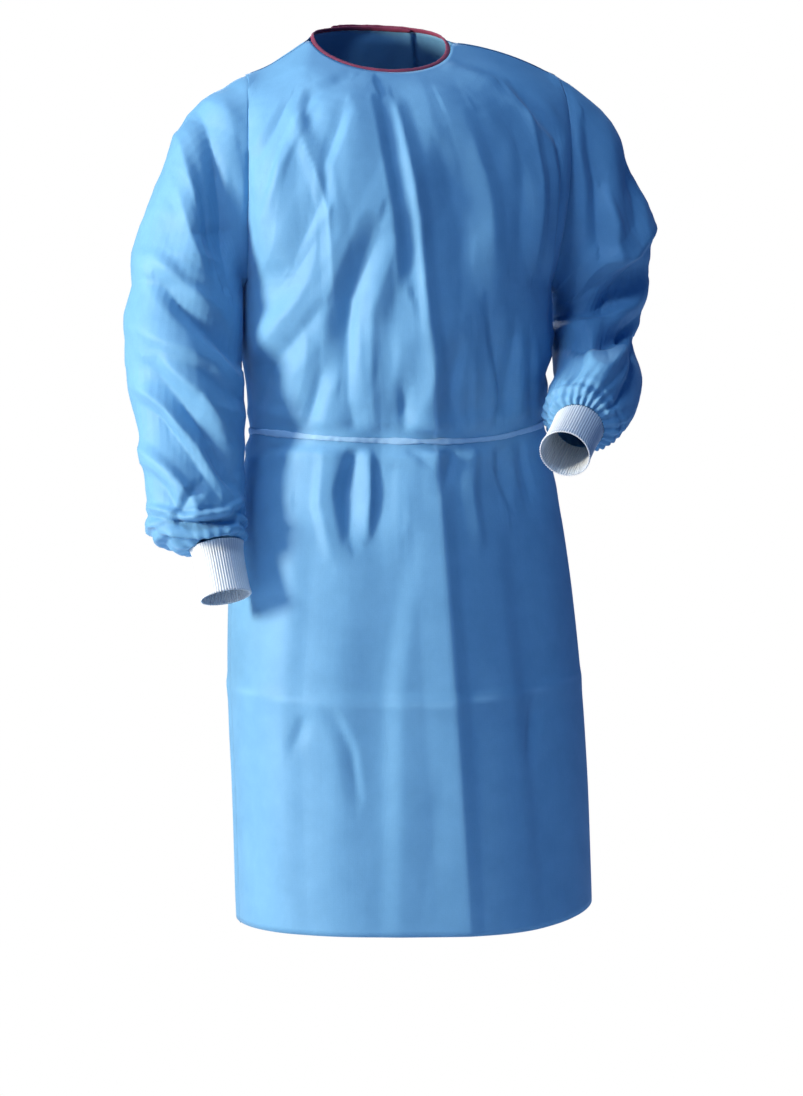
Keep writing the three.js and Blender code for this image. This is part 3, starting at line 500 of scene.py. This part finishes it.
def off_line(point, both):
    """How far a point is from the line between two others, given as a tree finds them."""
    (first, _, _), (second, _, _) = both
    return (point - geometry.intersect_point_line(point, first, second)[0]).length


def wrist_out(points, wrist):
    """How far each point of a sleeve is moved out by the pleats and rolls at its wrist, in metres."""
    up, turn, near = round_the_arm(points, mounts[wrist["cuff"]])
    uneven = PLEATS_UNEVEN * np.sin(PLEATS_UNEVEN_TIMES * turn)
    pleats = np.cos(wrist["pleats"] * turn + uneven + up / PLEATS_SLANT)
    pleats *= np.clip(1 - np.abs(up - PLEATS_AT) / PLEATS_LONG, 0, 1)
    slipped = up / ROLL_PITCH
    for sway in ROLL_SWAYS:
        slipped += sway["by"] * np.sin(sway["times"] * turn + sway["start"])
    rolls_end = wrist["rolls"] * MM
    rolls = np.cos(2 * np.pi * slipped) * smooth_step(up, 0, ROLLS_START)
    rolls *= 1 - smooth_step(up, ROLLS_FADE_FROM * rolls_end, rolls_end)
    return (wrist["pleat"] * pleats + wrist["roll"] * rolls) * MM * near


held_down = tree_of_nodes(["waist_tie", "tie_knot", "tie_tail_left", "tie_tail_right", "neck_binding"])
tie_alone = tree_of_nodes(["waist_tie"])
panels = {}
for name, panel in PANELS.items():
    panels[name] = outer_skin(name, f"{name}_cloth")
    refine(panels[name], panel["cuts"])

# Where each panel's edge is sewn under another's: the two nearest points of that edge
edges = {name: open_edge(piece) for name, piece in panels.items()}
stitches = {}
sewn_points = []
for name, panel in PANELS.items():
    ends = [(other, k) for other in panel["under"] for k in edges[other]]
    if ends:
        tree = tree_of_points([edges[other][k] for other, k in ends])
        found = {k: tree.find_n(p, 2) for k, p in edges[name].items()}
        stitches[name] = {
            k: [(ends[near[1]], 1 / (near[2] + SEWN_CLOSE)) for near in both]
            for k, both in found.items() if off_line(edges[name][k], both) < SEWN_WITHIN}
        sewn_points += [edges[name][k] for k in stitches[name]]
seams = tree_of_points(sewn_points)

for name, piece in panels.items():
    points, normals = points_and_normals(piece)
    facing = np.clip(0.5 - SIDE_BLEND * normals[:, 1], 0, 1)
    # Each set of creases also gives the painted highlight along its sharp crests
    front_out, front_highlight = crease_out(points, FRONT_CREASES)
    back_out, back_highlight = crease_out(points, BACK_CREASES)
    out = (front_out * facing + back_out * (1 - facing)) * CREASE_DEPTH
    out += facet_out(points, FRONT_FACETS, FACET_SEEDS["front"]) * facing
    out += facet_out(points, BACK_FACETS, FACET_SEEDS["back"]) * (1 - facing)
    from_seam = np.array([seams.find(Vector(p))[2] for p in points])
    out *= SEAM_HOLD + (1 - SEAM_HOLD) * smooth_step(from_seam, 0, SEAM_HELD_WITHIN)
    from_tape = np.array([held_down.find_nearest(Vector(p))[3] for p in points])
    out *= smooth_step(from_tape, PRESSED_WITHIN, FREE_BEYOND)
    for bulge in FULLNESS:
        gap = np.linalg.norm(points - np.array(bulge["at"]), axis=1) / MM
        out += bulge["out"] * MM * smooth_step(-gap, -bulge["reach"], 0)
    if name in WRISTS:
        out += wrist_out(points, WRISTS[name])
    else:
        from_tie = np.array([tie_alone.find_nearest(Vector(p))[3] for p in points])
        out += PUFF_HIGH * np.exp(-(((from_tie - PUFF_AT) / PUFF_WIDE) ** 2))
    reshape(piece, points + normals * (out + SKIN_LIFT)[:, None])
    # Painted highlight along the sharp crests, for the material to lighten the cloth there
    highlight_layer = piece.data.attributes.new("crest_highlight", "FLOAT", "POINT")
    highlight_layer.data.foreach_set("value", front_highlight * facing + back_highlight * (1 - facing))

# Seam allowances: a panel's edge reaches the edge that lies over it, and runs on a little below it
ALLOWANCE = 1.8 * MM
ALLOWANCE_SINK = 0.7 * MM


def turn_under(name):
    """Lengthens the panel's sewn edges to the edges that they are sewn to, and under them."""
    mesh = bmesh.new()
    mesh.from_mesh(panels[name].data)
    mesh.normal_update()
    sewn = [e for e in mesh.edges if e.is_boundary and all(v.index in stitches[name] for v in e.verts)]
    turns = {}
    for edge in sewn:
        face = edge.link_faces[0]
        outward = (edge.verts[1].co - edge.verts[0].co).cross(face.normal).normalized()
        if (face.calc_center_median() - edge.verts[0].co).dot(outward) > 0:
            outward.negate()
        for vert in edge.verts:
            turns.setdefault(vert, []).append(outward * ALLOWANCE - face.normal * ALLOWANCE_SINK)
    edge_verts = list(turns)
    old = tree_of_points([v.co for v in edge_verts])
    numbers = [v.index for v in edge_verts]
    made = bmesh.ops.extrude_edge_only(mesh, edges=sewn)
    for vert in [g for g in made["geom"] if isinstance(g, bmesh.types.BMVert)]:
        which = old.find(vert.co)[1]
        steps = turns[edge_verts[which]]
        threads = stitches[name][numbers[which]]
        pulled = [panels[other].data.vertices[k].co * pull for (other, k), pull in threads]
        reached = sum(pulled, Vector()) / sum(pull for _, pull in threads)
        vert.co = reached + sum(steps, Vector()) / len(steps)
    mesh.to_mesh(panels[name].data)
    mesh.free()
    panels[name].data.shade_smooth()


for name in stitches:
    turn_under(name)


def linear(hex_colour):
    """An sRGB hex colour as linear values with alpha."""
    channels = [int(hex_colour[k:k + 2], 16) / 255 for k in (1, 3, 5)]
    return [c / 12.92 if c <= 0.04045 else ((c + 0.055) / 1.055) ** 2.4 for c in channels] + [1]


def add_node(tree, kind, settings=None, inputs=None, links=None):
    """A node with its settings, its input values and what feeds it."""
    node = tree.nodes.new(kind)
    for key, value in (settings or {}).items():
        setattr(node, key, value)
    for key, value in (inputs or {}).items():
        node.inputs[key].default_value = value
    for key, socket in (links or {}).items():
        tree.links.new(socket, node.inputs[key])
    return node


def new_material(name):
    """An empty material, its node tree and its output."""
    material = bpy.data.materials.new(name)
    material.use_nodes = True
    tree = material.node_tree
    tree.nodes.clear()
    return material, tree, add_node(tree, "ShaderNodeOutputMaterial")


def surface(tree, output, shader):
    """Shows the shader on the output."""
    tree.links.new(shader.outputs[0], output.inputs["Surface"])


# Spunbond polypropylene, bonded between hot rollers: matt with a faint fibre sheen, cloudy where the
# fibres lie thicker, paler along the crests of sharp creases as a painted highlight, and dimpled all
# over by the rollers' fine grid of points. It lets a little light through.
CLOTH_BLUE = "#619ecb"
CLOTH_CLOUD = "#70aeda"
# Painted highlight colour along the crests of sharp creases
CLOTH_CREST_HIGHLIGHT = "#7db9e2"
BOND_PITCH = 2.2 * MM
FIBRE_WIDTH = 0.6 * MM
CLOUD_SIZE = 45 * MM
LIGHT_THROUGH = 0.07


def cloth_material():
    """Spunbond cloth, from its fibres and bonds."""
    material, tree, output = new_material("spunbond non-woven cloth")
    place = add_node(tree, "ShaderNodeTexCoord")
    bonds = add_node(
        tree, "ShaderNodeTexVoronoi", {"feature": "F1"},
        {"Scale": 1 / BOND_PITCH, "Randomness": 0.35}, {"Vector": place.outputs["Object"]})
    fibres = add_node(
        tree, "ShaderNodeTexNoise", None,
        {"Scale": 1 / FIBRE_WIDTH, "Detail": 3.0, "Roughness": 0.6}, {"Vector": place.outputs["Object"]})
    clouds = add_node(
        tree, "ShaderNodeTexNoise", None, {"Scale": 1 / CLOUD_SIZE, "Detail": 4.0, "Roughness": 0.62},
        {"Vector": place.outputs["Object"]})
    web = add_node(
        tree, "ShaderNodeMath", {"operation": "MULTIPLY"}, None,
        {0: clouds.outputs["Fac"], 1: fibres.outputs["Fac"]})
    shade = add_node(
        tree, "ShaderNodeMapRange", None,
        {"From Min": 0.12, "From Max": 0.42, "To Min": 0.0, "To Max": 1.0}, {"Value": web.outputs[0]})
    dyed = add_node(
        tree, "ShaderNodeMix", {"data_type": "RGBA"}, {6: linear(CLOTH_BLUE), 7: linear(CLOTH_CLOUD)},
        {0: shade.outputs["Result"]})
    # Painted highlight: the cloth's colour is lightened along the crests of sharp creases
    crest_highlight = add_node(tree, "ShaderNodeAttribute", {"attribute_name": "crest_highlight"})
    colour = add_node(
        tree, "ShaderNodeMix", {"data_type": "RGBA"}, {7: linear(CLOTH_CREST_HIGHLIGHT)},
        {0: crest_highlight.outputs["Fac"], 6: dyed.outputs[2]})
    relief = add_node(
        tree, "ShaderNodeMath", {"operation": "ADD"}, None,
        {0: bonds.outputs["Distance"], 1: fibres.outputs["Fac"]})
    bump = add_node(
        tree, "ShaderNodeBump", None, {"Strength": 0.35, "Distance": 0.25 * MM},
        {"Height": relief.outputs[0]})
    shader = add_node(
        tree, "ShaderNodeBsdfPrincipled", None,
        {"Roughness": 0.62, "IOR": 1.49, "Sheen Weight": 0.12, "Sheen Roughness": 0.45},
        {"Base Color": colour.outputs[2], "Normal": bump.outputs["Normal"]})
    through = add_node(
        tree, "ShaderNodeBsdfTranslucent", None, None,
        {"Color": colour.outputs[2], "Normal": bump.outputs["Normal"]})
    surface(tree, output, add_node(
        tree, "ShaderNodeMixShader", None, {0: LIGHT_THROUGH},
        {1: shader.outputs[0], 2: through.outputs[0]}))
    return material


def finish_sheet(piece, node_name, material, thick=None):
    """Gives a sheet its material and, if asked, its thickness, ties it to the root body and hides the solid
    that it stands for.
    """
    piece.data.materials.clear()
    piece.data.materials.append(material)
    if thick:
        wall = piece.modifiers.new("thickness", "SOLIDIFY")
        wall.thickness = thick
        wall.offset = -1
    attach(piece, "root")
    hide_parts(node_name)


cloth = cloth_material()
for name, panel in PANELS.items():
    finish_sheet(panels[name], name, cloth, CLOTH_THICK)

# Knitted cuffs: a seamless tube on each gathered wrist, sewn on along its upper edge.
# White cotton and polyester yarn, knitted in ribs that run along the arm and stretch over the hand;
# the lower edge is the turned, slightly thicker end of the knit.
# Painted shade darkens the knit in the hollows between its ribs.
RIBS = 60
RIB_HEIGHT = 0.7 * MM
KNIT_THICK = 1.0 * MM
KNIT_CUTS = 5
WELT_HIGH = 0.9 * MM
WELT_LONG = 7 * MM
CUFF_LONG = 66 * MM
YARN_WIDTH = 1.1 * MM
CUFF_WHITE = "#e6edf1"
# Painted shade colour for the hollows between the ribs
RIB_PAINTED_SHADE = "#c3ced8"
CUFFS = {
    "cuff_right": {"mount": "glove_cuff_right", "sleeve": "sleeve_right"},
    "cuff_left": {"mount": "glove_cuff_left", "sleeve": "sleeve_left"},
}


def knit_material():
    """Ribbed knit, with painted shade that darkens it between its ribs."""
    material, tree, output = new_material("rib knit of cotton and polyester yarn")
    place = add_node(tree, "ShaderNodeTexCoord")
    loops = add_node(
        tree, "ShaderNodeTexVoronoi", {"feature": "F1"}, {"Scale": 1 / YARN_WIDTH, "Randomness": 0.5},
        {"Vector": place.outputs["Object"]})
    # Painted shade: the yarn is darkened in the hollows between the ribs
    rib_shade_node = add_node(tree, "ShaderNodeAttribute", {"attribute_name": "painted_rib_shade"})
    yarn = add_node(
        tree, "ShaderNodeMix", {"data_type": "RGBA"}, {6: linear(CUFF_WHITE), 7: linear(RIB_PAINTED_SHADE)},
        {0: rib_shade_node.outputs["Fac"]})
    bump = add_node(
        tree, "ShaderNodeBump", None, {"Strength": 0.6, "Distance": 0.5 * MM},
        {"Height": loops.outputs["Distance"]})
    surface(tree, output, add_node(
        tree, "ShaderNodeBsdfPrincipled", None,
        {"Roughness": 0.9, "IOR": 1.5, "Sheen Weight": 0.2},
        {"Base Color": yarn.outputs[2], "Normal": bump.outputs["Normal"]}))
    return material


knit = knit_material()
for name, cuff in CUFFS.items():
    piece = outer_skin(name, f"{name}_knit")
    refine(piece, KNIT_CUTS)
    points, normals = points_and_normals(piece)
    up, turn, _ = round_the_arm(points, mounts[cuff["mount"]])
    ribs = np.cos(RIBS * turn)
    welt = WELT_HIGH * np.clip(1 - (up + CUFF_LONG) / WELT_LONG, 0, 1) ** 0.5
    reshape(piece, points + normals * (RIB_HEIGHT * ribs + welt)[:, None])
    # Painted shade: how much darker each point is made, most in the hollows between the ribs
    rib_shade_layer = piece.data.attributes.new("painted_rib_shade", "FLOAT", "POINT")
    rib_shade_layer.data.foreach_set("value", (0.5 - 0.5 * ribs) ** 2)
    finish_sheet(piece, name, knit, KNIT_THICK)

# Neck binding: a narrow strip folded over the raw neck edge and stitched, its ends lapped behind.
# Dyed non-woven, dark red to show the gown's size in the pack, drawn into faint puckers by its stitches.
BINDING_RED = "#74213f"
BINDING_WORN = "#8e3457"
BINDING_FIBRE = 1.4 * MM
PUCKER = 0.28 * MM
PUCKER_SIZE = 9 * MM
PUCKER_SEED = 21
STRIP_CUTS = 3
RIPPLE_WAVES = 7
RIPPLE_SPREAD = (0.5, 1.5)
RIPPLE_HEIGHT = 1 / 3


def whole_skin(node_name, piece_name, cuts):
    """A soft strip's solid, rounded and made finer."""
    mesh = bmesh.new()
    mesh.from_mesh(nodes[node_name].data)
    bmesh.ops.remove_doubles(mesh, verts=mesh.verts, dist=SAME_POINT)
    piece = quads(mesh, piece_name)
    refine(piece, cuts)
    return piece


def ripples(points, size, seed):
    """Soft uneven waves from -1 to 1, about as wide as the given size."""
    chance = np.random.default_rng(seed)
    total = np.zeros(len(points))
    for _ in range(RIPPLE_WAVES):
        way = chance.normal(size=3)
        way *= 2 * math.pi / size / np.linalg.norm(way) * chance.uniform(*RIPPLE_SPREAD)
        total += np.sin(points @ way + chance.uniform(0, SWAY_START))
    return total * RIPPLE_HEIGHT


def strip_material(name, dark, pale, fibre):
    """Folded non-woven strip: matt, a little fuzzy, paler and darker at random."""
    material, tree, output = new_material(name)
    place = add_node(tree, "ShaderNodeTexCoord")
    web = add_node(
        tree, "ShaderNodeTexNoise", None, {"Scale": 1 / fibre, "Detail": 3.0, "Roughness": 0.65},
        {"Vector": place.outputs["Object"]})
    dyed = add_node(
        tree, "ShaderNodeMix", {"data_type": "RGBA"}, {6: linear(dark), 7: linear(pale)},
        {0: web.outputs["Fac"]})
    bump = add_node(
        tree, "ShaderNodeBump", None, {"Strength": 0.5, "Distance": 0.3 * MM},
        {"Height": web.outputs["Fac"]})
    surface(tree, output, add_node(
        tree, "ShaderNodeBsdfPrincipled", None,
        {"Roughness": 0.72, "IOR": 1.49, "Sheen Weight": 0.15},
        {"Base Color": dyed.outputs[2], "Normal": bump.outputs["Normal"]}))
    return material


binding = whole_skin("neck_binding", "neck_binding_strip", STRIP_CUTS)
points, normals = points_and_normals(binding)
puckers = PUCKER * ripples(points, PUCKER_SIZE, PUCKER_SEED)
reshape(binding, points + normals * puckers[:, None])
finish_sheet(
    binding, "neck_binding",
    strip_material("dyed non-woven binding", BINDING_RED, BINDING_WORN, BINDING_FIBRE))

# Waist tie: one long tape round the waist over the cloth, knotted behind, its two ends hanging free.
# Non-woven strip folded narrow, so soft that it twists and crumples as it is drawn in.
TIE_PALE = "#9cc6e6"
TIE_SHADE = "#7fb0d8"
TIE_FIBRE = 1.2 * MM
TIE_NARROW = 0.74
TIE_UNEVEN = 0.16
TIE_TWISTS = 9
TIE_DRIFT = 2
TIE_DRIFTS = 4
TIE_STRETCHES = 60
TIE_CRUMPLE = 0.3 * MM
TIE_SEED = 32
CRUMPLE_SIZE = 13 * MM
KNOT_WRAP = 5.2 * MM
KNOT_SLANT = 0.45
KNOT_GROOVE = 0.8 * MM
KNOT_LEVEL = 0.8
KNOT_SEED = 31
TIE_PARTS = {
    "waist_tie": {"piece": "waist_tie_tape", "cuts": 3, "flat": (0.010, 1.06)},
    "tie_tail_left": {"piece": "tie_tail_left_tape", "cuts": 4, "flat": (0.0105, 0.185)},
    "tie_tail_right": {"piece": "tie_tail_right_tape", "cuts": 4, "flat": (0.0105, 0.152)},
}


def narrowed_heights(points):
    """The heights of the waist tie's points once it is narrowed about its middle, here more, there less."""
    turn = np.arctan2(points[:, 1], points[:, 0])
    starts = np.linspace(-math.pi, math.pi, TIE_STRETCHES + 1)
    which = np.digitize(turn, starts) - 1
    filled = np.unique(which)
    levels = [points[which == k, 2].mean() for k in filled]
    level = np.interp(turn, starts[filled] + math.pi / TIE_STRETCHES, levels, period=2 * math.pi)
    drift = TIE_DRIFT * np.sin(TIE_DRIFTS * turn)
    narrow = TIE_NARROW + TIE_UNEVEN * np.sin(TIE_TWISTS * turn + drift)
    return level + (points[:, 2] - level) * narrow


tape = strip_material("folded non-woven tape", TIE_SHADE, TIE_PALE, TIE_FIBRE)
knot = whole_skin("tie_knot", "tie_knot_wraps", STRIP_CUTS)
points, normals = points_and_normals(knot)
wraps = np.abs(np.sin(np.pi * (points[:, 0] + KNOT_SLANT * points[:, 2]) / KNOT_WRAP))
grooves = KNOT_GROOVE * (np.sqrt(wraps) - KNOT_LEVEL)
grooves += TIE_CRUMPLE * ripples(points, CRUMPLE_SIZE, KNOT_SEED)
reshape(knot, points + normals * grooves[:, None])
finish_sheet(knot, "tie_knot", tape)

for name, part in TIE_PARTS.items():
    piece = whole_skin(name, part["piece"], part["cuts"])
    points, normals = points_and_normals(piece)
    if name == "waist_tie":
        points[:, 2] = narrowed_heights(points)
    crumple = TIE_CRUMPLE * ripples(points, CRUMPLE_SIZE, TIE_SEED)
    reshape(piece, points + normals * crumple[:, None])
    finish_sheet(piece, name, tape)

# Stage: a floor far below the hem and a room, both plain white to the camera and a dim blue to the
# cloth. The camera stands a little to the gown's right, level with its waist. A warm soft lamp low on
# that side rakes the folds, and three weaker ones light the gown from the front, above and behind.
ROOM_TINT = "#3f93ff"
ROOM_LIGHT = 0.17
FLOOR_TINT = "#c9d8ea"
PLAIN_WHITE = "#ffffff"
FLOOR_LEVEL = -1.5
FLOOR_HALF = 30
LAMPS = {
    "key": {
        "at": (-3.6, -0.75, 0.15), "aim": (0, 0, -0.55),
        "size": 0.8, "power": 205, "tint": "#fff0da",
    },
    "front": {
        "at": (-1.5, -2.1, 2.4), "aim": (-0.1, 0, -0.1),
        "size": 1.0, "power": 50, "tint": "#c8e2ff",
    },
    "top": {
        "at": (-1.3, -0.5, 2.7), "aim": (0, 0, -0.3),
        "size": 1.0, "power": 30, "tint": "#f2f8ff",
    },
    "back": {
        "at": (0.7, 4.0, 1.2), "aim": (0, 0, -0.55),
        "size": 2.0, "power": 120, "tint": "#e6f0ff",
    },
}

# The camera, the photo's scale and its frame, and how many of its pixels from the left the gown's
# middle is
VIEW_TURN = math.radians(13)
VIEW_DISTANCE = 4.5
VIEW_HEIGHT = -0.5
AIM_HEIGHT = -0.66
MM_PER_PIXEL = 1.3
FRAME_HIGH = 1096
FRAME_WIDE = 803
AIM_PIXEL = 398
SENSOR = 36


def white_to_camera(tree, lit):
    """Plain white where the camera sees it, and the given shader for all other light."""
    kind = "ShaderNodeEmission" if lit.type.startswith("BSDF") else "ShaderNodeBackground"
    white = add_node(tree, kind, None, {"Color": linear(PLAIN_WHITE)})
    seen = add_node(tree, "ShaderNodeLightPath")
    return add_node(
        tree, "ShaderNodeMixShader", None, None,
        {0: seen.outputs["Is Camera Ray"], 1: lit.outputs[0], 2: white.outputs[0]})


floor_data = bpy.data.meshes.new("floor")
grid = bmesh.new()
bmesh.ops.create_grid(grid, x_segments=1, y_segments=1, size=FLOOR_HALF)
bmesh.ops.translate(grid, verts=grid.verts, vec=(0, 0, FLOOR_LEVEL))
grid.to_mesh(floor_data)
grid.free()
floor = bpy.data.objects.new("floor", floor_data)
bpy.context.collection.objects.link(floor)
floor_paint, tree, output = new_material("matt white floor")
paint = add_node(
    tree, "ShaderNodeBsdfPrincipled", None, {"Base Color": linear(FLOOR_TINT), "Roughness": 0.9})
surface(tree, output, white_to_camera(tree, paint))
floor_data.materials.append(floor_paint)

room = bpy.data.worlds.new("room")
bpy.context.scene.world = room
room.use_nodes = True
tree = room.node_tree
tree.nodes.clear()
room_light = add_node(
    tree, "ShaderNodeBackground", None, {"Color": linear(ROOM_TINT), "Strength": ROOM_LIGHT})
surface(tree, add_node(tree, "ShaderNodeOutputWorld"), white_to_camera(tree, room_light))
bpy.context.scene.view_settings.view_transform = "Standard"

for name, lamp in LAMPS.items():
    light = bpy.data.lights.new(name, "AREA")
    light.shape = "DISK"
    light.size = lamp["size"]
    light.energy = lamp["power"]
    light.color = linear(lamp["tint"])[:3]
    stand = bpy.data.objects.new(name, light)
    stand.location = lamp["at"]
    stand.rotation_euler = (Vector(lamp["aim"]) - Vector(lamp["at"])).to_track_quat("-Z", "Y").to_euler()
    bpy.context.collection.objects.link(stand)

lens = bpy.data.cameras.new("camera")
camera = bpy.data.objects.new("camera", lens)
bpy.context.collection.objects.link(camera)
eye = Vector((-math.sin(VIEW_TURN) * VIEW_DISTANCE, -math.cos(VIEW_TURN) * VIEW_DISTANCE, VIEW_HEIGHT))
aim = Vector((0, 0, AIM_HEIGHT))
camera.location = eye
camera.rotation_euler = (aim - eye).to_track_quat("-Z", "Y").to_euler()
lens.sensor_fit = "VERTICAL"
lens.sensor_height = SENSOR
lens.lens = SENSOR * (aim - eye).length / (FRAME_HIGH * MM_PER_PIXEL * MM)
lens.shift_x = (FRAME_WIDE / 2 - AIM_PIXEL) / FRAME_HIGH
bpy.context.scene.camera = camera
